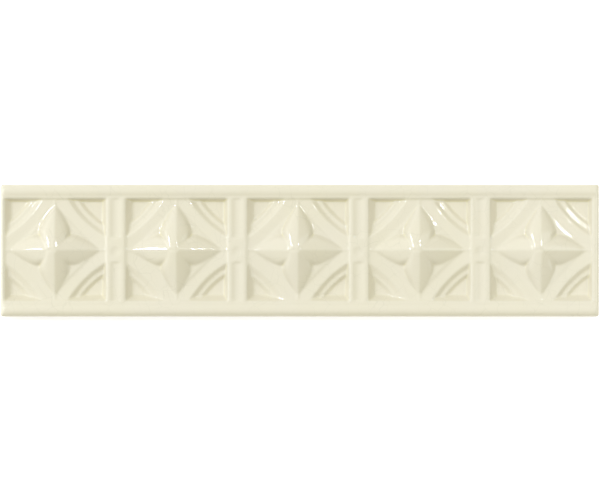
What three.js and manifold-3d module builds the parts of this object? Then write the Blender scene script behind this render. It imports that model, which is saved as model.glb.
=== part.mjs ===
import * as THREE from 'three';
import { mergeVertices } from 'three/addons/utils/BufferGeometryUtils.js';
import Module from 'manifold-3d';

// A relief border tile, pressed and fired as one piece of ceramic. It lies on its flat back:
// +X along its length, +Y across its width, +Z out of its face. Every length is in millimetres.

// Whole tile
const tileLength = 228.6;
const tileWidth = 50.6;
const cornerRadius = 1.2;

// Flat frame that the panels are sunk into, measured from the back
const frameHeight = 9.2;

// Rounded rails along the two long edges
const railWidth = 4.4;
const railRise = 0.5;
const railCrestInset = 2.1;
const railOuterDrop = 2.2;
const railFootLean = 0.5;

// Rounding of the two short ends
const endRoundRun = 1.5;
const endRoundDrop = 2.4;

// Row of square sunk panels; the pressed pattern sits a little off the middle of the tile
const panelCount = 5;
const panelPitch = 46.4;
const panelOpening = 39.4;
const panelDepth = 3.0;
const wallRunLeft = 2.7;
const wallRunRight = 2.0;
const wallRunTop = 1.0;
const wallRunBottom = 1.8;
const patternShiftX = -0.7;
const patternShiftY = 0.2;

// Star band: the raised ground that is left between four round corner steps
const bandRise = 2.0;
const terraceRise = 1.1;
const cornerCentreOffset = 13.5;
const upperStepRadius = 31.0;
const lowerStepRadius = 27.9;
const stepRun = 1.6;

// Four-leaved star, with its heights measured from the back. Past each leaf's tip a low crest
// runs on to the wall. The widths are half of the leaf's.
const starTop = 12.9;
const leafTipHeight = 8.75;
const leafLength = 16.8;
const crestReach = 19.9;
const leafRootHalf = 1.9;
const leafHalf = 6.0;
const leafTipHalf = 0.8;
const leafShoulderPlace = 0.45;
const leafOgive = 1.4;
const leafCrease = 0.5;
const leafPuff = 3;

// Rise in the middle of the star, which fills the valleys between the leaves
const heartRise = 3.0;
const heartRadius = 8.0;

// Mullions: two fillets with a hollow between them, crossed by a dimpled boss
const hollowWidth = 4.2;
const hollowDepth = 0.45;
const bossLength = 9.4;
const dimpleDiameter = 4.2;
const dimpleDepth = 0.4;
const dimpleLower = 0.6;

// Roundness of the faceted curves
const curveSteps = 6;
const roundSides = 64;
const hollowSides = 32;
const dimpleSides = 24;
const leafSteps = 9;
const leafSides = 4;
const heartRings = 5;
const heartSides = 24;

// Surfaces that must cross each other go past by this much
const overrun = 0.5;

const wasm = await Module();
wasm.setup();

// Turn a closed geometry into a solid that can be cut and joined.
function toSolid(geometry) {
  const bare = geometry.clone();
  bare.deleteAttribute('normal');
  bare.deleteAttribute('uv');
  const welded = mergeVertices(bare);
  const corners = welded.index.array;
  const faces = [];
  for (let i = 0; i < corners.length; i += 3) {
    const [a, b, c] = [corners[i], corners[i + 1], corners[i + 2]];
    if (a !== b && b !== c && c !== a) {
      faces.push(a, b, c);
    }
  }
  return new wasm.Manifold(new wasm.Mesh({
    numProp: 3,
    vertProperties: Float32Array.from(welded.attributes.position.array),
    triVerts: Uint32Array.from(faces),
  }));
}

// Turn a solid back into a flat-shaded geometry.
function toGeometry(solid) {
  const mesh = solid.getMesh();
  const geometry = new THREE.BufferGeometry();
  geometry.setAttribute('position', new THREE.BufferAttribute(mesh.vertProperties, 3));
  geometry.setIndex(new THREE.BufferAttribute(mesh.triVerts, 1));
  const flat = geometry.toNonIndexed();
  flat.computeVertexNormals();
  return flat;
}

function joinAll(solids) {
  return solids.reduce((sum, next) => sum.add(next));
}

const crestHeight = frameHeight + railRise;
const floorHeight = frameHeight - panelDepth;
const bandHeight = floorHeight + bandRise;
const terraceHeight = floorHeight + terraceRise;
const panelHalf = panelOpening / 2;
const cutHeight = starTop + overrun;

function panelX(index) {
  return (index - (panelCount - 1) / 2) * panelPitch + patternShiftX;
}

function mullionX(index) {
  return panelX(index) + panelPitch / 2;
}

// Cross-section of the tile, the same along its whole length: flat back, upright sides,
// and a rounded rail on each side that falls inwards to the flat frame.
function crossSection() {
  const half = tileWidth / 2;
  const crestY = half - railCrestInset;
  const footY = half - railWidth;
  const sideTop = crestHeight - railOuterDrop;
  const section = new THREE.Shape();
  section.moveTo(-half, 0);
  section.lineTo(half, 0);
  section.lineTo(half, sideTop);
  section.absellipse(crestY, sideTop, railCrestInset, railOuterDrop, 0, Math.PI / 2, false, 0);
  section.quadraticCurveTo(footY + railFootLean, crestHeight, footY, frameHeight);
  section.lineTo(-footY, frameHeight);
  section.quadraticCurveTo(-footY - railFootLean, crestHeight, -crestY, crestHeight);
  section.absellipse(-crestY, sideTop, railCrestInset, railOuterDrop, Math.PI / 2, Math.PI, false, 0);
  section.lineTo(-half, 0);
  const geometry = new THREE.ExtrudeGeometry(section, {
    depth: tileLength, bevelEnabled: false, curveSegments: curveSteps,
  });
  geometry.translate(0, 0, -tileLength / 2);
  geometry.applyMatrix4(new THREE.Matrix4().makeBasis(
    new THREE.Vector3(0, 1, 0),
    new THREE.Vector3(0, 0, 1),
    new THREE.Vector3(1, 0, 0),
  ));
  return toSolid(geometry);
}

// Side view of the tile, with its two ends rounded over at the top.
function endRounding() {
  const half = tileLength / 2;
  const top = cutHeight;
  const endTop = crestHeight - endRoundDrop;
  const side = new THREE.Shape();
  side.moveTo(-half, 0);
  side.lineTo(half, 0);
  side.lineTo(half, endTop);
  side.absellipse(half - endRoundRun, endTop, endRoundRun, endRoundDrop, 0, Math.PI / 2, false, 0);
  side.lineTo(half - endRoundRun, top);
  side.lineTo(endRoundRun - half, top);
  side.absellipse(endRoundRun - half, endTop, endRoundRun, endRoundDrop, Math.PI / 2, Math.PI, false, 0);
  side.lineTo(-half, 0);
  const geometry = new THREE.ExtrudeGeometry(side, {
    depth: tileWidth + 2 * overrun, bevelEnabled: false, curveSegments: curveSteps,
  });
  geometry.translate(0, 0, -tileWidth / 2 - overrun);
  geometry.rotateX(Math.PI / 2);
  return toSolid(geometry);
}

// Plan of the tile, with its four corners rounded.
function planOutline() {
  const halfX = tileLength / 2;
  const halfY = tileWidth / 2;
  const innerX = halfX - cornerRadius;
  const innerY = halfY - cornerRadius;
  const quarter = Math.PI / 2;
  const plan = new THREE.Shape();
  plan.moveTo(-innerX, -halfY);
  plan.absarc(innerX, -innerY, cornerRadius, -quarter, 0, false);
  plan.absarc(innerX, innerY, cornerRadius, 0, quarter, false);
  plan.absarc(-innerX, innerY, cornerRadius, quarter, 2 * quarter, false);
  plan.absarc(-innerX, -innerY, cornerRadius, 2 * quarter, 3 * quarter, false);
  const geometry = new THREE.ExtrudeGeometry(plan, {
    depth: cutHeight + overrun, bevelEnabled: false, curveSegments: curveSteps / 2,
  });
  geometry.translate(0, 0, -overrun);
  return toSolid(geometry);
}

// Square hole, panelOpening wide at the frame. Each of its walls leans in by its own run.
function panelWell(bottom) {
  const top = frameHeight + overrun;
  const well = new THREE.BoxGeometry(2, 2, top - bottom);
  well.translate(0, 0, (top + bottom) / 2);
  const place = well.attributes.position;
  for (let i = 0; i < place.count; i += 1) {
    const sideX = place.getX(i);
    const sideY = place.getY(i);
    const share = (place.getZ(i) - frameHeight) / panelDepth;
    const runX = sideX > 0 ? wallRunRight : wallRunLeft;
    const runY = sideY > 0 ? wallRunTop : wallRunBottom;
    place.setXY(i, sideX * (panelHalf + runX * share), sideY * (panelHalf + runY * share));
  }
  return toSolid(well);
}

// Round step in each corner of a panel. Its edge bulges towards the star, and its face leans.
function cornerSteps(radius, top, bottom) {
  const centre = panelHalf + cornerCentreOffset;
  const drop = top - bottom;
  const reach = frameHeight + overrun - bottom;
  const steps = [];
  for (const sideX of [-1, 1]) {
    for (const sideY of [-1, 1]) {
      const step = new THREE.CylinderGeometry(
        radius + stepRun * (reach / drop - 1), radius - stepRun, reach, roundSides,
      );
      step.rotateX(Math.PI / 2);
      step.translate(sideX * centre, sideY * centre, bottom + reach / 2);
      steps.push(toSolid(step));
    }
  }
  return joinAll(steps);
}

// All that is hollowed out of the frame for one panel.
function panelHollow() {
  const upper = panelWell(terraceHeight).intersect(
    cornerSteps(upperStepRadius, bandHeight, terraceHeight),
  );
  const lower = panelWell(floorHeight).intersect(
    cornerSteps(lowerStepRadius, terraceHeight, floorHeight),
  );
  return joinAll([panelWell(bandHeight), upper, lower]);
}

// Half the width of a leaf, from its root at 0 to its tip at 1.
function leafHalfWidth(share) {
  if (share < leafShoulderPlace) {
    const swell = (1 - Math.cos(share / leafShoulderPlace * Math.PI)) / 2;
    return leafRootHalf + (leafHalf - leafRootHalf) * swell;
  }
  const fall = (share - leafShoulderPlace) / (1 - leafShoulderPlace);
  return leafTipHalf + (leafHalf - leafTipHalf) * (1 - fall ** leafOgive);
}

// One leaf, pulled along +X: a creased ridge that falls evenly from the star's middle to its tip.
// It starts a little past the middle, lower down, and ends in the low crest.
function leaf() {
  const body = new THREE.BoxGeometry(leafSteps + 2, 2, 2, leafSteps + 2, 2 * leafSides, 1);
  body.translate(leafSteps / 2, 0, 0);
  const place = body.attributes.position;
  for (let i = 0; i < place.count; i += 1) {
    const step = place.getX(i);
    const share = THREE.MathUtils.clamp(step / leafSteps, 0, 1);
    const along = step > leafSteps ? crestReach : step / leafSteps * leafLength;
    const across = Math.abs(place.getY(i));
    const ridge = starTop - (starTop - leafTipHeight) * share - Math.max(-along, 0);
    const rise = 1 - leafCrease * across - (1 - leafCrease) * across ** leafPuff;
    const height = place.getZ(i) > 0 ? bandHeight + (ridge - bandHeight) * rise : floorHeight - overrun;
    place.setXYZ(i, along, place.getY(i) * leafHalfWidth(share), height);
  }
  return toSolid(body);
}

// Round rise under the four roots.
function starHeart() {
  const profile = [new THREE.Vector2(0, -overrun), new THREE.Vector2(heartRadius, -overrun)];
  for (let i = 0; i <= heartRings; i += 1) {
    const share = 1 - i / heartRings;
    const height = heartRise * (1 + Math.cos(share * Math.PI)) / 2;
    profile.push(new THREE.Vector2(heartRadius * share, height));
  }
  const heart = new THREE.LatheGeometry(profile, heartSides);
  heart.rotateX(Math.PI / 2);
  heart.translate(0, 0, bandHeight);
  return toSolid(heart);
}

function star() {
  const leaves = [0, 90, 180, 270].map((turn) => leaf().rotate([0, 0, turn]));
  return joinAll([starHeart(), ...leaves]);
}

// Hollow between a mullion's two fillets, on one side of its boss.
function mullionHollow(side) {
  const radius = (hollowWidth ** 2 / 4 + hollowDepth ** 2) / (2 * hollowDepth);
  const length = panelHalf - bossLength / 2;
  const hollow = new THREE.CylinderGeometry(radius, radius, length, hollowSides);
  hollow.translate(0, side * (bossLength / 2 + length / 2), frameHeight - hollowDepth + radius);
  return toSolid(hollow);
}

// Round dish in the middle of a boss.
function bossDimple() {
  const radius = (dimpleDiameter ** 2 / 4 + dimpleDepth ** 2) / (2 * dimpleDepth);
  const ball = new THREE.SphereGeometry(radius, dimpleSides, dimpleSides);
  ball.rotateX(Math.PI / 2);
  ball.translate(0, -dimpleLower, frameHeight - dimpleDepth + radius);
  return toSolid(ball);
}

function buildTile() {
  const hollow = panelHollow();
  const leaves = star();
  const mullion = joinAll([mullionHollow(-1), mullionHollow(1), bossDimple()]);
  const hollows = [];
  const stars = [];
  for (let i = 0; i < panelCount; i += 1) {
    hollows.push(hollow.translate([panelX(i), patternShiftY, 0]));
    stars.push(leaves.translate([panelX(i), patternShiftY, 0]));
    if (i < panelCount - 1) {
      hollows.push(mullion.translate([mullionX(i), patternShiftY, 0]));
    }
  }
  return crossSection()
    .subtract(joinAll(hollows))
    .add(joinAll(stars))
    .intersect(endRounding())
    .intersect(planOutline());
}

const glaze = new THREE.MeshStandardMaterial({ color: 0xeae6d0, roughness: 0.12, metalness: 0 });

const borderTile = new THREE.Mesh(toGeometry(buildTile()), glaze);
borderTile.name = 'border_tile';

const object = new THREE.Group();
object.add(borderTile);

export default object;
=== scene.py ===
"""Cream crackle-glazed relief border tile, lying on its back and seen from straight above.

The pressed clay is modelled first, with its panels, steps, stars, mullions and rails. The glaze is then
a fine sheet that settles over the clay, runs off its ridges and gathers in its hollows.
"""
import math

import bpy
import numpy as np
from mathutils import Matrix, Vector


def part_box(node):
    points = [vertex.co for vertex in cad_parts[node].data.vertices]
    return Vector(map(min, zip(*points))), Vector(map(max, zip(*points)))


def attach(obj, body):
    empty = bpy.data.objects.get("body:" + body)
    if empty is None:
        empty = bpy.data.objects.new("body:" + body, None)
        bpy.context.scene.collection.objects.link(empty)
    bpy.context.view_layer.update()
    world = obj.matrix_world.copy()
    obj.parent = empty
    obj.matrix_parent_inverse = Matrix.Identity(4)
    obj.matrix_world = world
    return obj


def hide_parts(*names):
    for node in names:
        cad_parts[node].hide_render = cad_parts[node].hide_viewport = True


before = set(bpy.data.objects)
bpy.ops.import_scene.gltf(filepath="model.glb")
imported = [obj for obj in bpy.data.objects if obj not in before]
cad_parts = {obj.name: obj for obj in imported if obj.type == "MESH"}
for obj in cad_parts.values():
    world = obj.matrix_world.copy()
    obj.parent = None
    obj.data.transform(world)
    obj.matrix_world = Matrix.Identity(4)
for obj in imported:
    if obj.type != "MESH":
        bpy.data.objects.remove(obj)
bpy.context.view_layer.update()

MM = 0.001
CLAY_NODE = "border_tile"

# Tile, from the frame
low, high = (Vector(corner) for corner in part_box(CLAY_NODE))
LENGTH = high.x - low.x
WIDTH = high.y - low.y

# Rails and rounded ends: sizes that the frame's solid doesn't name, in metres
FRAME_HEIGHT = 9.2 * MM
RAIL_WIDTH = 4.4 * MM
RAIL_RISE = 0.5 * MM
RAIL_CREST_INSET = 2.1 * MM
RAIL_OUTER_DROP = 2.2 * MM
RAIL_OUTER_STEPS = 14
RAIL_INNER_STEPS = 12
RAIL_INNER_CURVE = 3.0
END_ROUND_RUN = 1.5 * MM
END_ROUND_DROP = 2.4 * MM
END_ROUND_TURN = math.pi / 2 - 0.1
END_ROUND_STEPS = 10
CORNER_RADIUS = 1.2 * MM

# Panels, whose walls each lean by their own run
PANEL_COUNT = 5
PANEL_PITCH = 46.4 * MM
PANEL_OPENING = 39.4 * MM
PANEL_DEPTH = 3.0 * MM
WALL_RUN_LEFT = 3.0 * MM
WALL_RUN_RIGHT = 1.5 * MM
WALL_RUN_TOP = 1.0 * MM
WALL_RUN_BOTTOM = 2.4 * MM
PATTERN_SHIFT = (-0.7 * MM, 0.2 * MM)

# The star's band and the steps that fall away from it to the panel's corners
BOWL_LOW = 1.7 * MM
BOWL_RADIUS = 270.0 * MM
BOWL_CENTRE = 1.5 * MM
BOWL_REACH = 0.85
BOWL_RINGS = 16
BOWL_SIDES = 96
BAND_EDGE = 8.4 * MM
MOTIF_ROOT = 0.3 * MM
TERRACE_RISE = 1.1 * MM
CORNER_CENTRE_OFFSET = 13.5 * MM
UPPER_STEP_RADIUS = 31.3 * MM
UPPER_STEP_RUN = 1.5 * MM
LOWER_STEP_RADIUS = 28.2 * MM
LOWER_STEP_RUN = 1.0 * MM
STEP_SIDES = 256
SOFT_CORNER = 1.5

# Star. The leaves are in the order lower, right, upper, left, and each flank has a slope of its own.
STAR_TOP = 12.9 * MM
LEAF_LENGTH = 16.8 * MM
LEAF_TIP_HEIGHT = 8.75 * MM
CREST_REACH = 19.9 * MM
CREST_END_HEIGHT = 8.8 * MM
LEAF_SINK = 0.1 * MM
LEAF_OVERLAP = 0.6 * MM
LEAF_ROOT_HALF = 4.2 * MM
LEAF_HALF = 6.2 * MM
LEAF_TIP_HALF = 0.55 * MM
LEAF_SHOULDER_PLACE = 0.43
LEAF_OGIVE = 1.4
LEAF_ROOT_PUFF = 7.5
LEAF_TIP_PUFF = 3.0
LEAF_STEPS = 26
FLANK_STEPS = 12
FLANK_SLOPES = ((0.36, 0.12), (0.20, 0.36), (0.06, 0.34), (0.26, 0.18))
FLANK_SHARE = 0.8
LEAF_BELLIES = (0, 0, 0.7 * MM, 0)

# Low skirt under the star: outline scales from the outside in, with the slope up to each
SKIRT_WAIST = 8.1 * MM
SKIRT_FOOT_HEIGHT = 8.05 * MM
SKIRT_FOOT_SCALE = 1.05
SKIRT_LEVELS = ((1.05, 0), (0.98, 0.45), (0.68, 0.02), (0.4, 0.36), (0.1, 0.36))
SKIRT_SIDE_STEPS = 10

# Mullions
HOLLOW_WIDTH = 4.2 * MM
HOLLOW_DEPTH = 0.40 * MM
HOLLOW_SIDES = 96
BOSS_LENGTH = 9.4 * MM
DIMPLE_DIAMETER = 4.2 * MM
DIMPLE_DEPTH = 0.28 * MM
DIMPLE_LOWER = 0.6 * MM
DIMPLE_SEGMENTS = 64
DIMPLE_RINGS = 48

CREST_HEIGHT = FRAME_HEIGHT + RAIL_RISE
FLOOR_HEIGHT = FRAME_HEIGHT - PANEL_DEPTH
TERRACE_HEIGHT = FLOOR_HEIGHT + TERRACE_RISE
OVERRUN = 0.5 * MM

# Glaze sheet, and the sides and back that close it
CELL = 0.36 * MM
EDGE_ROWS = 6
EDGE_INSET = 0.02 * MM
SHEET_START = 20 * MM
HAND_PRESS = 0.09 * MM
HAND_PRESS_SPREAD = 7.0 * MM
FLOW_FACTOR = 0.5
FLOW_TIMES = 6
SIDE_HEIGHTS = (6.0 * MM, 3.0 * MM, 0.35 * MM)
BACK_EDGE = 0.3 * MM
GLAZE_DEPTH = "glaze_depth"

# Glaze colours and finish. The glaze's depth attribute is in millimetres. The deeper, yellower cream where
# the glaze gathers in hollows is partly real glaze pooling and partly painted shade in the recesses.
CREAM = (0.712, 0.654, 0.503)
DEEP_CREAM_AND_SHADE = (0.740, 0.678, 0.415)
THIN_CREAM = (0.720, 0.690, 0.560)
CRACK_TINT = (0.560, 0.520, 0.370)
BISCUIT = (0.720, 0.640, 0.520)
POOLED_AND_SHADE_DEPTHS = (0.02, 0.36)
THINNED_DEPTHS = (0.0, 0.35)
DEPTH_STIR = 0.06
CLOUD_SCALE = 55.0
CLOUD_TINT = 0.35
CLOUD_TINT_BASE = 0.1
CRACK_WANDER_SCALE = 260.0
CRACK_WANDER = 1.4 * MM
CRACK_CELLS = 205.0
CRACK_WIDTHS = (0.004, 0.030)
CRACK_FADE_SCALE = 90.0
CRACK_FADE = (0.35, 0.7)
CRACK_SHOW = 0.28
CRACK_DEPTH = 0.05 * MM
BARE_FOOT = (0.5 * MM, 0.9 * MM)
BARE_FOOT_STIR = 0.6 * MM

# Light: name, place, size and watts of each lamp, all aimed at the tile
LAMP_COLOUR = (0.86, 0.93, 1.0)
LAMPS = (
    ("left_softbox", (-0.425, 0.145, 0.62), (0.13, 0.06), 2.0),
    ("right_softbox", (0.282, 0.16, 0.62), (0.044, 0.020), 0.6),
    ("right_window", (0.26, 0.0, 0.22), (0.22, 0.22), 0.22),
    ("left_window", (-0.42, 0.06, 0.20), (0.22, 0.22), 0.27),
)
WINDOW_DIRECTION = (-0.53, 0.32, 0.80)
WINDOW_LIGHT = 0.705
WINDOW_COLOUR = (0.965, 0.982, 1.07)
WINDOW_SPREAD = (0.25, 0.95)
WINDOW_TINT_SPREAD = (0.1, 0.8)
ROOM_LIGHT = 0.35
ROOM_COLOUR = (1.0, 0.945, 0.62)
TABLE_SIZE = 6
TABLE_COLOUR = (0.93, 0.93, 0.93)
TABLE_GLOW = 0.42

# Camera, straight above: the real size of a pixel, and where the tile's centre falls in the picture
PIXEL = 0.3817 * MM
FRAME_PIXELS = (600, 500)
TILE_CENTRE_PIXEL = (299.75, 250.5)
CAMERA_HEIGHT = 1.6
SENSOR_WIDTH = 36
SIGHT = 20


def deselect():
    """Leave edit mode and select nothing."""
    if bpy.context.object and bpy.context.object.mode != "OBJECT":
        bpy.ops.object.mode_set(mode="OBJECT")
    bpy.ops.object.select_all(action="DESELECT")


def take(thing):
    """Make a thing the only selected one, and the active one."""
    deselect()
    thing.select_set(True)
    bpy.context.view_layer.objects.active = thing


def settle(thing):
    """Put a thing's place and turn into its mesh."""
    take(thing)
    bpy.ops.object.transform_apply(location=True, rotation=True, scale=True)
    return thing


def start(name):
    """Name the primitive that was just added."""
    thing = bpy.context.object
    thing.name = name
    return settle(thing)


def block(name, size, centre):
    """A plain block."""
    deselect()
    bpy.ops.mesh.primitive_cube_add(size=1, location=centre)
    bpy.context.object.scale = size
    return start(name)


def pressed(thing, kind, other):
    """Join a piece to the clay, or press it in, or keep what they share. The piece is used up."""
    take(thing)
    cut = thing.modifiers.new(kind.lower(), "BOOLEAN")
    cut.operation = kind
    cut.object = other
    cut.solver = "EXACT"
    bpy.ops.object.modifier_apply(modifier=cut.name)
    bpy.data.objects.remove(other)
    return thing


def joined(things):
    """Several overlapping pieces as one mesh, as they only have to be covered from above."""
    deselect()
    for thing in things:
        thing.select_set(True)
    bpy.context.view_layer.objects.active = things[0]
    bpy.ops.object.join()
    return things[0]


def copy_to(thing, name, offset):
    """A copy with a mesh of its own, moved by an offset."""
    twin = thing.copy()
    twin.data = thing.data.copy()
    twin.name = name
    bpy.context.collection.objects.link(twin)
    twin.location = offset
    return settle(twin)


def outline_face(name, points, height):
    """A flat face with the outline's points, from a circle with as many corners."""
    deselect()
    bpy.ops.mesh.primitive_circle_add(vertices=len(points), radius=1, fill_type="NGON")
    face = start(name)
    for vertex, (x, y) in zip(face.data.vertices, points):
        vertex.co = (x, y, height)
    return face


def loft(name, levels):
    """A closed solid through outlines with equal numbers of points, from the lowest upwards."""
    (height, points), *rest = levels
    solid = outline_face(name, points, height)
    take(solid)
    before = np.array(points)
    for height, points in rest:
        bpy.ops.object.mode_set(mode="EDIT")
        bpy.ops.mesh.select_mode(type="FACE")
        if len(solid.data.polygons) == 1:
            bpy.ops.mesh.select_all(action="SELECT")
        bpy.ops.mesh.extrude_region_move(TRANSFORM_OT_translate={"value": (0, 0, 0)})
        bpy.ops.object.mode_set(mode="OBJECT")
        for vertex in [vertex for vertex in solid.data.vertices if vertex.select]:
            nearest = np.argmin(np.hypot(*(before - vertex.co[:2]).T))
            vertex.co = (*points[nearest], height)
        before = np.array(points)
    bpy.ops.object.mode_set(mode="EDIT")
    bpy.ops.mesh.select_all(action="SELECT")
    bpy.ops.mesh.normals_make_consistent(inside=False)
    bpy.ops.object.mode_set(mode="OBJECT")
    return solid


def prism(name, points, length):
    """An outline pulled up from the ground by a length."""
    return loft(name, [(0, points), (length, points)])


def arc(centre, radii, start_turn, end_turn, steps):
    """Points along part of an ellipse, with both ends."""
    points = []
    for i in range(steps + 1):
        turn = start_turn + (end_turn - start_turn) * i / steps
        points.append((centre[0] + radii[0] * math.cos(turn), centre[1] + radii[1] * math.sin(turn)))
    return points


def circle(radius, sides):
    """Points all round a circle."""
    return arc((0, 0), (radius, radius), 0, math.tau * (sides - 1) / sides, sides - 1)


def cap_radius(width, depth):
    """Radius of the circle that a hollow of this width and depth is cut from."""
    return (width ** 2 / 4 + depth ** 2) / (2 * depth)


def rail_section():
    """The tile's cross-section: across it, and up from its back."""
    half = WIDTH / 2
    crest = half - RAIL_CREST_INSET
    foot = half - RAIL_WIDTH
    radii = (RAIL_CREST_INSET, RAIL_OUTER_DROP)
    outer = arc((crest, CREST_HEIGHT - RAIL_OUTER_DROP), radii, 0, math.pi / 2, RAIL_OUTER_STEPS)
    inner = []
    for i in range(1, RAIL_INNER_STEPS + 1):
        share = i / RAIL_INNER_STEPS
        inner.append((crest + (foot - crest) * share, CREST_HEIGHT - RAIL_RISE * share ** RAIL_INNER_CURVE))
    right = [(half, 0)] + outer + inner
    left = [(-across, up) for across, up in reversed(right)]
    return right + left


def end_rounding():
    """A block over the whole tile whose ends are rounded over."""
    half = LENGTH / 2
    flat_end = half - END_ROUND_RUN
    centre = (flat_end, CREST_HEIGHT - END_ROUND_DROP)
    right = arc(centre, (END_ROUND_RUN, END_ROUND_DROP), 0, END_ROUND_TURN, END_ROUND_STEPS)
    outline = [(half, -OVERRUN)] + right + [(flat_end, STAR_TOP + OVERRUN)]
    outline += [(-along, up) for along, up in reversed(outline)]
    rounding = prism("end_rounding", outline, WIDTH + 2 * OVERRUN)
    rounding.rotation_euler = (math.pi / 2, 0, 0)
    settle(rounding)
    rounding.location = (0, WIDTH / 2 + OVERRUN, 0)
    return settle(rounding)


def slab():
    """The tile without its panels, pulled along its length from the cross-section."""
    body = prism("pressed_clay", rail_section(), LENGTH)
    body.rotation_euler = (math.pi / 2, 0, math.pi / 2)
    settle(body)
    body.location = (-LENGTH / 2, 0, 0)
    settle(body)
    return pressed(body, "INTERSECT", end_rounding())


def panel_well():
    """A square hole whose walls lean, each by its own run."""
    half = PANEL_OPENING / 2
    past = OVERRUN / PANEL_DEPTH
    well = block("well", (1, 1, 1), (0, 0, 0))
    for vertex in well.data.vertices:
        at_top = vertex.co.z > 0
        run_x = WALL_RUN_RIGHT if vertex.co.x > 0 else WALL_RUN_LEFT
        run_y = WALL_RUN_TOP if vertex.co.y > 0 else WALL_RUN_BOTTOM
        share = past if at_top else -1
        vertex.co.x = math.copysign(half + run_x * share, vertex.co.x)
        vertex.co.y = math.copysign(half + run_y * share, vertex.co.y)
        vertex.co.z = FRAME_HEIGHT + OVERRUN if at_top else FLOOR_HEIGHT
    return well


def ground_height(distance):
    """Height of the star band's bowl at a distance from a panel's centre."""
    return FLOOR_HEIGHT + BOWL_LOW + BOWL_RADIUS - math.sqrt(BOWL_RADIUS ** 2 - distance ** 2)


def bowl():
    """The star band's ground: a shallow bowl that rises towards the frame half way along each side."""
    reach = PANEL_OPENING * BOWL_REACH
    levels = []
    for i in range(BOWL_RINGS + 1):
        radius = BOWL_CENTRE + (reach - BOWL_CENTRE) * i / BOWL_RINGS
        levels.append((ground_height(radius), circle(radius, BOWL_SIDES)))
    levels.append((CREST_HEIGHT + 2 * OVERRUN, levels[-1][1]))
    return loft("bowl", levels)


def corner_steps(radius, run, top, drop, bottom):
    """One round step towards each of a panel's corners. The lower left one leans more than the others."""
    centre = PANEL_OPENING / 2 + CORNER_CENTRE_OFFSET
    ceiling = CREST_HEIGHT + OVERRUN
    steps = None
    for side_x in (-1, 1):
        for side_y in (-1, 1):
            lean = run / drop * (SOFT_CORNER if side_x < 0 and side_y < 0 else 1)
            deselect()
            bpy.ops.mesh.primitive_cone_add(
                vertices=STEP_SIDES,
                radius1=radius + lean * (bottom - top),
                radius2=radius + lean * (ceiling - top),
                depth=ceiling - bottom,
                location=(side_x * centre, side_y * centre, (ceiling + bottom) / 2),
            )
            step = start("step")
            steps = step if steps is None else pressed(steps, "UNION", step)
    return steps


def leaf_half_width(share):
    """Half the width of a leaf, from its root at 0 to its tip at 1."""
    shoulder = LEAF_SHOULDER_PLACE
    if share < shoulder:
        swell = (1 - math.cos(share / shoulder * math.pi)) / 2
        return LEAF_ROOT_HALF + (LEAF_HALF - LEAF_ROOT_HALF) * swell
    fall = (share - shoulder) / (1 - shoulder)
    return LEAF_TIP_HALF + (LEAF_HALF - LEAF_TIP_HALF) * (1 - fall ** LEAF_OGIVE)


def leaf_section(distance, half, ridge, flanks):
    """A leaf's outline cut across, with a creased ridge between two rounded flanks."""
    rise = ridge - (ground_height(distance) - LEAF_SINK)
    puff = LEAF_ROOT_PUFF + (LEAF_TIP_PUFF - LEAF_ROOT_PUFF) * min(max(distance / LEAF_LENGTH, 0), 1)
    section = [(-half, FLOOR_HEIGHT - OVERRUN), (half, FLOOR_HEIGHT - OVERRUN)]
    for i in range(2 * FLANK_STEPS + 1):
        across = 1 - i / FLANK_STEPS
        flank = flanks[0] if across > 0 else flanks[1]
        sloped = min(flank * half, rise * FLANK_SHARE)
        drop = sloped * abs(across) + (rise - sloped) * abs(across) ** puff
        section.append((half * across, ridge - drop))
    return distance, section


def leaf(belly, flanks, turn):
    """One leaf, from a little past the star's middle to its tip, and on as a low crest to the wall."""
    levels = [leaf_section(-LEAF_OVERLAP, LEAF_ROOT_HALF, STAR_TOP - LEAF_OVERLAP, flanks)]
    for i in range(1, LEAF_STEPS + 1):
        share = i / LEAF_STEPS
        ridge = STAR_TOP - (STAR_TOP - LEAF_TIP_HEIGHT) * share + belly * math.sin(math.pi * share)
        levels.append(leaf_section(share * LEAF_LENGTH, leaf_half_width(share), ridge, flanks))
    levels.append(leaf_section(CREST_REACH, LEAF_TIP_HALF, CREST_END_HEIGHT, flanks))
    piece = loft("leaf", levels)
    piece.rotation_euler = (math.pi / 2, 0, turn)
    return settle(piece)


def star():
    """Four leaves whose ridges meet in the middle."""
    leaves = []
    for i, (belly, flanks) in enumerate(zip(LEAF_BELLIES, FLANK_SLOPES)):
        leaves.append(leaf(belly, flanks, i * math.pi / 2))
    return leaves


def skirt_outline(scale):
    """Four hollowed sides that run from leaf tip to leaf tip."""
    tip = (LEAF_LENGTH, LEAF_TIP_HALF)
    middle = (tip[0] ** 2 + tip[1] ** 2 - 2 * SKIRT_WAIST ** 2) / (2 * (tip[0] + tip[1] - 2 * SKIRT_WAIST))
    radius = math.sqrt(2) * (middle - SKIRT_WAIST)
    start_turn = math.pi + math.atan2(middle - tip[1], middle - tip[0])
    side = arc((middle, middle), (radius, radius), start_turn, 2.5 * math.pi - start_turn, SKIRT_SIDE_STEPS)
    outline = []
    for quarter in range(4):
        outline += [(x * scale, y * scale) for x, y in side]
        side = [(-y, x) for x, y in side]
    return outline


def skirt():
    """The low rise that the leaves stand on, highest in the star's middle."""
    reach = SKIRT_WAIST * math.sqrt(2)
    levels = [(FLOOR_HEIGHT - OVERRUN / 2, skirt_outline(SKIRT_FOOT_SCALE))]
    height = SKIRT_FOOT_HEIGHT
    before = SKIRT_FOOT_SCALE
    for scale, slope in SKIRT_LEVELS:
        height += slope * (before - scale) * reach
        before = scale
        levels.append((height, skirt_outline(scale)))
    return loft("skirt", levels)


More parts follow.
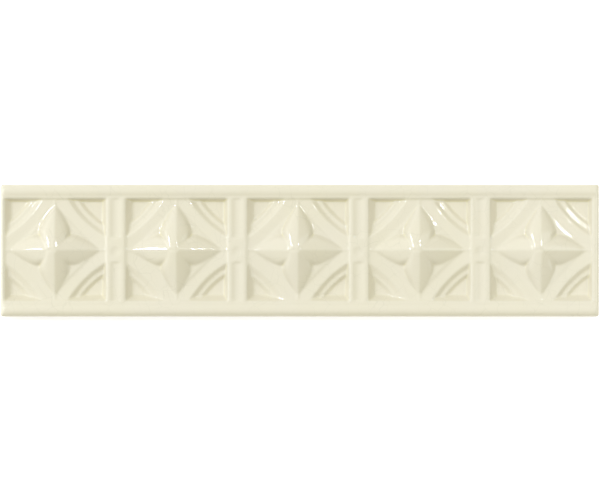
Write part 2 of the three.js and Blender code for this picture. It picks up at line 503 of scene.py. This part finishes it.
def panel_motif():
    """The star on its band, with the terraces that step down from it."""
    side = PANEL_OPENING + 2 * MOTIF_ROOT
    bottom = FLOOR_HEIGHT - 2 * OVERRUN
    ground = block("motif", (side, side, CREST_HEIGHT - bottom), (0, 0, (CREST_HEIGHT + bottom) / 2))
    pressed(ground, "DIFFERENCE", bowl())
    upper_drop = BAND_EDGE - TERRACE_HEIGHT
    upper = corner_steps(UPPER_STEP_RADIUS, UPPER_STEP_RUN, BAND_EDGE, upper_drop, TERRACE_HEIGHT)
    floor_below = FLOOR_HEIGHT - OVERRUN
    lower = corner_steps(LOWER_STEP_RADIUS, LOWER_STEP_RUN, TERRACE_HEIGHT, TERRACE_RISE, floor_below)
    pressed(ground, "DIFFERENCE", upper)
    pressed(ground, "DIFFERENCE", lower)
    return joined([ground, skirt(), *star()])


def mullion_hollow(side):
    """The hollow between a mullion's two fillets, above or below its boss."""
    radius = cap_radius(HOLLOW_WIDTH, HOLLOW_DEPTH)
    length = (PANEL_OPENING - BOSS_LENGTH) / 2
    centre = (0, side * (BOSS_LENGTH + length) / 2, FRAME_HEIGHT - HOLLOW_DEPTH + radius)
    deselect()
    bpy.ops.mesh.primitive_cylinder_add(
        vertices=HOLLOW_SIDES, radius=radius, depth=length, rotation=(math.pi / 2, 0, 0), location=centre,
    )
    return start("hollow")


def boss_dimple():
    """The round dimple in a mullion's boss."""
    radius = cap_radius(DIMPLE_DIAMETER, DIMPLE_DEPTH)
    centre = (0, -DIMPLE_LOWER, FRAME_HEIGHT - DIMPLE_DEPTH + radius)
    deselect()
    bpy.ops.mesh.primitive_uv_sphere_add(
        segments=DIMPLE_SEGMENTS, ring_count=DIMPLE_RINGS, radius=radius, location=centre,
    )
    return start("dimple")


def pressed_clay():
    """The whole tile in clay, with hard edges."""
    clay = slab()
    well = panel_well()
    motif = panel_motif()
    hollows = [mullion_hollow(-1), mullion_hollow(1), boss_dimple()]
    motifs = []
    for i in range(PANEL_COUNT):
        panel_x = (i - (PANEL_COUNT - 1) / 2) * PANEL_PITCH + PATTERN_SHIFT[0]
        place = (panel_x, PATTERN_SHIFT[1], 0)
        pressed(clay, "DIFFERENCE", copy_to(well, "well_copy", place))
        motifs.append(copy_to(motif, "motif_copy", place))
        if i < PANEL_COUNT - 1:
            mullion = (panel_x + PANEL_PITCH / 2, PATTERN_SHIFT[1], 0)
            for cut in hollows:
                pressed(clay, "DIFFERENCE", copy_to(cut, "cut_copy", mullion))
    for spare in (well, motif, *hollows):
        bpy.data.objects.remove(spare)
    return joined([clay, *motifs])


def spread(share, half, rows):
    """Place of a grid line: even in the middle, and closer together over the rounded edge."""
    side = math.copysign(1, share)
    row = abs(share) * rows
    inner = rows - EDGE_ROWS
    flat = half - RAIL_CREST_INSET
    if row <= inner:
        return side * flat * row / inner
    turn = (row - inner) / EDGE_ROWS * math.pi / 2
    return side * (flat + RAIL_CREST_INSET * math.sin(turn))


def glaze_sheet():
    """A fine grid over the tile, with rounded corners and closer rows at its edges."""
    half_x = LENGTH / 2 - EDGE_INSET
    half_y = WIDTH / 2 - EDGE_INSET
    rows_x = round(half_x / CELL)
    rows_y = round(half_y / CELL)
    deselect()
    bpy.ops.mesh.primitive_grid_add(x_subdivisions=2 * rows_x, y_subdivisions=2 * rows_y, size=2)
    sheet = start("glazed_border_tile")
    for vertex in sheet.data.vertices:
        x = spread(vertex.co.x, half_x, rows_x)
        y = spread(vertex.co.y, half_y, rows_y)
        over_x = max(abs(x) - (half_x - CORNER_RADIUS), 0)
        over_y = max(abs(y) - (half_y - CORNER_RADIUS), 0)
        if over_x > 0 and over_y > 0:
            pull = max(over_x, over_y) / math.hypot(over_x, over_y)
            x = math.copysign(half_x - CORNER_RADIUS + over_x * pull, x)
            y = math.copysign(half_y - CORNER_RADIUS + over_y * pull, y)
        vertex.co = (x, y, SHEET_START)
    return sheet


def heights(thing):
    """Height of every vertex."""
    places = np.empty(len(thing.data.vertices) * 3)
    thing.data.vertices.foreach_get("co", places)
    return places.reshape(-1, 3)[:, 2]


def apply_all(thing):
    """Apply a thing's modifiers, in their order."""
    take(thing)
    for modifier in list(thing.modifiers):
        bpy.ops.object.modifier_apply(modifier=modifier.name)


def lay_on_clay(sheet, clay):
    """Drop the sheet on the clay, which is a little uneven from the hand that pressed it."""
    drop = sheet.modifiers.new("settle_on_clay", "SHRINKWRAP")
    drop.target = clay
    drop.wrap_method = "PROJECT"
    drop.use_project_x = False
    drop.use_project_y = False
    drop.use_project_z = True
    drop.use_negative_direction = True
    drop.use_positive_direction = False
    waver = sheet.modifiers.new("hand_pressed", "DISPLACE")
    waver.texture = bpy.data.textures.new("uneven_clay", "CLOUDS")
    waver.texture.noise_scale = HAND_PRESS_SPREAD
    waver.texture.noise_depth = 1
    waver.texture_coords = "LOCAL"
    waver.direction = "Z"
    waver.mid_level = 0.5
    waver.strength = HAND_PRESS
    apply_all(sheet)


def let_flow(sheet):
    """Let the glaze run off ridges and into hollows."""
    flow = sheet.modifiers.new("flow", "SMOOTH")
    flow.use_x = False
    flow.use_y = False
    flow.factor = FLOW_FACTOR
    flow.iterations = FLOW_TIMES
    apply_all(sheet)


def close_sides(tile):
    """Draw the sheet's rim down to the floor in a few steps, round its lower edge and close the back."""
    take(tile)
    bpy.ops.object.mode_set(mode="EDIT")
    bpy.ops.mesh.select_mode(type="EDGE")
    bpy.ops.mesh.select_all(action="DESELECT")
    bpy.ops.mesh.select_non_manifold(extend=False)
    for height in SIDE_HEIGHTS:
        bpy.ops.mesh.extrude_edges_move(TRANSFORM_OT_translate={"value": (0, 0, 0)})
        bpy.ops.transform.resize(value=(1, 1, 0), center_override=(0, 0, height))
    inset = (1 - 2 * BACK_EDGE / LENGTH, 1 - 2 * BACK_EDGE / WIDTH, 0)
    bpy.ops.mesh.extrude_edges_move(TRANSFORM_OT_translate={"value": (0, 0, 0)})
    bpy.ops.transform.resize(value=inset, center_override=(0, 0, 0))
    bpy.ops.mesh.edge_face_add()
    bpy.ops.mesh.select_all(action="SELECT")
    bpy.ops.mesh.normals_make_consistent(inside=False)
    bpy.ops.object.mode_set(mode="OBJECT")
    bpy.ops.object.shade_smooth()


def glazed_tile():
    """The finished tile. Its glaze's depth, in millimetres, is kept as an attribute for the colour."""
    clay = pressed_clay()
    tile = glaze_sheet()
    lay_on_clay(tile, clay)
    clay_top = heights(tile).copy()
    let_flow(tile)
    depth = (heights(tile) - clay_top) / MM
    bpy.data.objects.remove(clay)
    close_sides(tile)
    values = np.zeros(len(tile.data.vertices))
    values[:len(depth)] = depth
    attribute = tile.data.attributes.new(GLAZE_DEPTH, "FLOAT", "POINT")
    attribute.data.foreach_set("value", values)
    return tile


class Number:
    """A number inside a material, so that shader maths can be written as Python."""

    def __init__(self, paint, socket):
        self.paint = paint
        self.socket = socket

    def maths(self, operation, first, second):
        return self.paint.node("ShaderNodeMath", {"operation": operation}, [first, second])["Value"]

    def __add__(self, other):
        return self.maths("ADD", self, other)

    def __radd__(self, other):
        return self.maths("ADD", other, self)

    def __mul__(self, other):
        return self.maths("MULTIPLY", self, other)

    def __rmul__(self, other):
        return self.maths("MULTIPLY", other, self)

    def __sub__(self, other):
        return self.maths("SUBTRACT", self, other)

    def __rsub__(self, other):
        return self.maths("SUBTRACT", other, self)

    def between(self, lowest, highest):
        """0 below the lowest value, 1 above the highest, and smooth between them."""
        settings = {"interpolation_type": "SMOOTHSTEP"}
        inputs = {"Value": self, "From Min": lowest, "From Max": highest}
        return self.paint.node("ShaderNodeMapRange", settings, inputs)["Result"]


class Paint:
    """The nodes of one material, or of the world."""

    def __init__(self, owner):
        owner.use_nodes = True
        self.tree = owner.node_tree

    def node(self, kind, settings, inputs):
        """A new node, its settings first and then its inputs, by name or in their order."""
        made = self.tree.nodes.new(kind)
        for key, value in settings.items():
            setattr(made, key, value)
        pairs = inputs.items() if isinstance(inputs, dict) else enumerate(inputs)
        for key, value in pairs:
            self.feed(made.inputs[key], value)
        return {out.name: Number(self, out) for out in made.outputs if out.enabled}

    def feed(self, socket, value):
        """Link a number to a socket, or set a constant on it."""
        if isinstance(value, Number):
            self.tree.links.new(value.socket, socket)
        elif isinstance(value, tuple) and socket.type == "RGBA":
            socket.default_value = (*value, 1)
        else:
            socket.default_value = value

    def mix(self, share, first, second):
        """Two colours mixed. They are the mix node's inputs 6 and 7."""
        settings = {"data_type": "RGBA", "blend_type": "MIX"}
        return self.node("ShaderNodeMix", settings, {0: share, 6: first, 7: second})["Result"]

    def noise(self, place, scale, detail=2.0):
        return self.node("ShaderNodeTexNoise", {}, {"Vector": place, "Scale": scale, "Detail": detail})

    def set(self, node, **inputs):
        """Feed inputs of the surface or the background, named with underlines for spaces."""
        for key, value in inputs.items():
            self.feed(self.tree.nodes[node].inputs[key.replace("_", " ")], value)


def crackle(paint, place):
    """How strongly a fine crack shows at a place: a net of bent cell edges that fades here and there."""
    wander = paint.noise(place, CRACK_WANDER_SCALE)["Color"]
    swerve = paint.node("ShaderNodeVectorMath", {"operation": "SCALE"}, {0: wander, "Scale": CRACK_WANDER})
    bent = paint.node("ShaderNodeVectorMath", {"operation": "ADD"}, [place, swerve["Vector"]])["Vector"]
    cells = paint.node("ShaderNodeTexVoronoi", {"feature": "DISTANCE_TO_EDGE"},
                       {"Vector": bent, "Scale": CRACK_CELLS, "Randomness": 1.0})["Distance"]
    fade = paint.noise(place, CRACK_FADE_SCALE)["Fac"].between(*CRACK_FADE)
    return (1.0 - cells.between(*CRACK_WIDTHS)) * fade


def crackle_glaze():
    """Cream glaze: paler where it thins on ridges, deeper and yellower where it gathers (real pooling with
    painted shade in the hollows), with a net of fine cracks.
    """
    material = bpy.data.materials.new("cream_crackle_glaze")
    paint = Paint(material)
    place = paint.node("ShaderNodeTexCoord", {}, [])["Object"]
    depth = paint.node("ShaderNodeAttribute", {"attribute_name": GLAZE_DEPTH}, [])["Fac"]
    cloud = paint.noise(place, CLOUD_SCALE, 3.0)["Fac"] - 0.5
    # Deeper, yellower cream in the hollows: real glaze pooling, and painted shade for the recesses
    pooled_and_shade = (depth + cloud * DEPTH_STIR).between(*POOLED_AND_SHADE_DEPTHS)
    thinned = (cloud * DEPTH_STIR - depth).between(*THINNED_DEPTHS)
    colour = paint.mix(pooled_and_shade, CREAM, DEEP_CREAM_AND_SHADE)
    colour = paint.mix(thinned, colour, THIN_CREAM)
    colour = paint.mix(cloud * CLOUD_TINT + CLOUD_TINT_BASE, colour, DEEP_CREAM_AND_SHADE)
    crack = crackle(paint, place)
    colour = paint.mix(crack * CRACK_SHOW, colour, CRACK_TINT)
    height = paint.node("ShaderNodeSeparateXYZ", {}, [place])["Z"]
    glazed = (height + cloud * BARE_FOOT_STIR).between(*BARE_FOOT)
    colour = paint.mix(glazed, BISCUIT, colour)
    relief = paint.node("ShaderNodeBump", {},
                        {"Strength": 0.25, "Distance": CRACK_DEPTH, "Height": 1.0 - crack})["Normal"]
    paint.set("Principled BSDF", Base_Color=colour, Roughness=0.6, IOR=1.5, Specular_IOR_Level=0.1,
              Coat_Weight=glazed, Coat_Roughness=0.055, Coat_IOR=1.5, Normal=relief)
    return material


def lit_table():
    """A white table that is lit a little from below."""
    material = bpy.data.materials.new("white_light_table")
    Paint(material).set("Principled BSDF", Base_Color=TABLE_COLOUR, Roughness=0.9,
                        Emission_Color=(1.0, 1.0, 1.0), Emission_Strength=TABLE_GLOW)
    return material


def soft_light(name, place, size, watts):
    """A square or oblong soft lamp that is aimed at the tile's centre."""
    deselect()
    bpy.ops.object.light_add(type="AREA", location=place)
    light = bpy.context.object
    light.name = name
    light.data.shape = "RECTANGLE"
    light.data.size, light.data.size_y = size
    light.data.energy = watts
    light.data.color = LAMP_COLOUR
    light.rotation_euler = (Vector((0, 0, 0)) - Vector(place)).to_track_quat("-Z", "Y").to_euler()


def soft_room():
    """A pale studio, brightest overhead and towards its windows at the upper left."""
    world = bpy.data.worlds.new("soft_room")
    bpy.context.scene.world = world
    paint = Paint(world)
    direction = paint.node("ShaderNodeTexCoord", {}, [])["Generated"]
    window = tuple(Vector(WINDOW_DIRECTION).normalized())
    toward = paint.node("ShaderNodeVectorMath", {"operation": "DOT_PRODUCT"}, [direction, window])["Value"]
    strength = toward.between(*WINDOW_SPREAD) * WINDOW_LIGHT + ROOM_LIGHT
    colour = paint.mix(toward.between(*WINDOW_TINT_SPREAD), ROOM_COLOUR, WINDOW_COLOUR)
    paint.set("Background", Strength=strength, Color=colour)


def camera_above():
    """A camera that looks straight down, so far to the side that the tile's centre falls on its pixel."""
    shift_x = (FRAME_PIXELS[0] / 2 - TILE_CENTRE_PIXEL[0]) * PIXEL
    shift_y = (TILE_CENTRE_PIXEL[1] - FRAME_PIXELS[1] / 2) * PIXEL
    bpy.ops.object.camera_add(location=(shift_x, shift_y, CAMERA_HEIGHT), rotation=(0, 0, 0))
    camera = bpy.context.object
    camera.data.sensor_width = SENSOR_WIDTH
    camera.data.lens = SENSOR_WIDTH * (CAMERA_HEIGHT - FRAME_HEIGHT) / (FRAME_PIXELS[0] * PIXEL)
    camera.data.clip_end = SIGHT
    bpy.context.scene.camera = camera


tile = glazed_tile()
tile.data.materials.append(crackle_glaze())
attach(tile, "root")
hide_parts(CLAY_NODE)

deselect()
bpy.ops.mesh.primitive_plane_add(size=TABLE_SIZE)
floor = start("floor")
floor.data.materials.append(lit_table())

for lamp in LAMPS:
    soft_light(*lamp)
soft_room()
camera_above()
bpy.context.scene.view_settings.view_transform = "Standard"
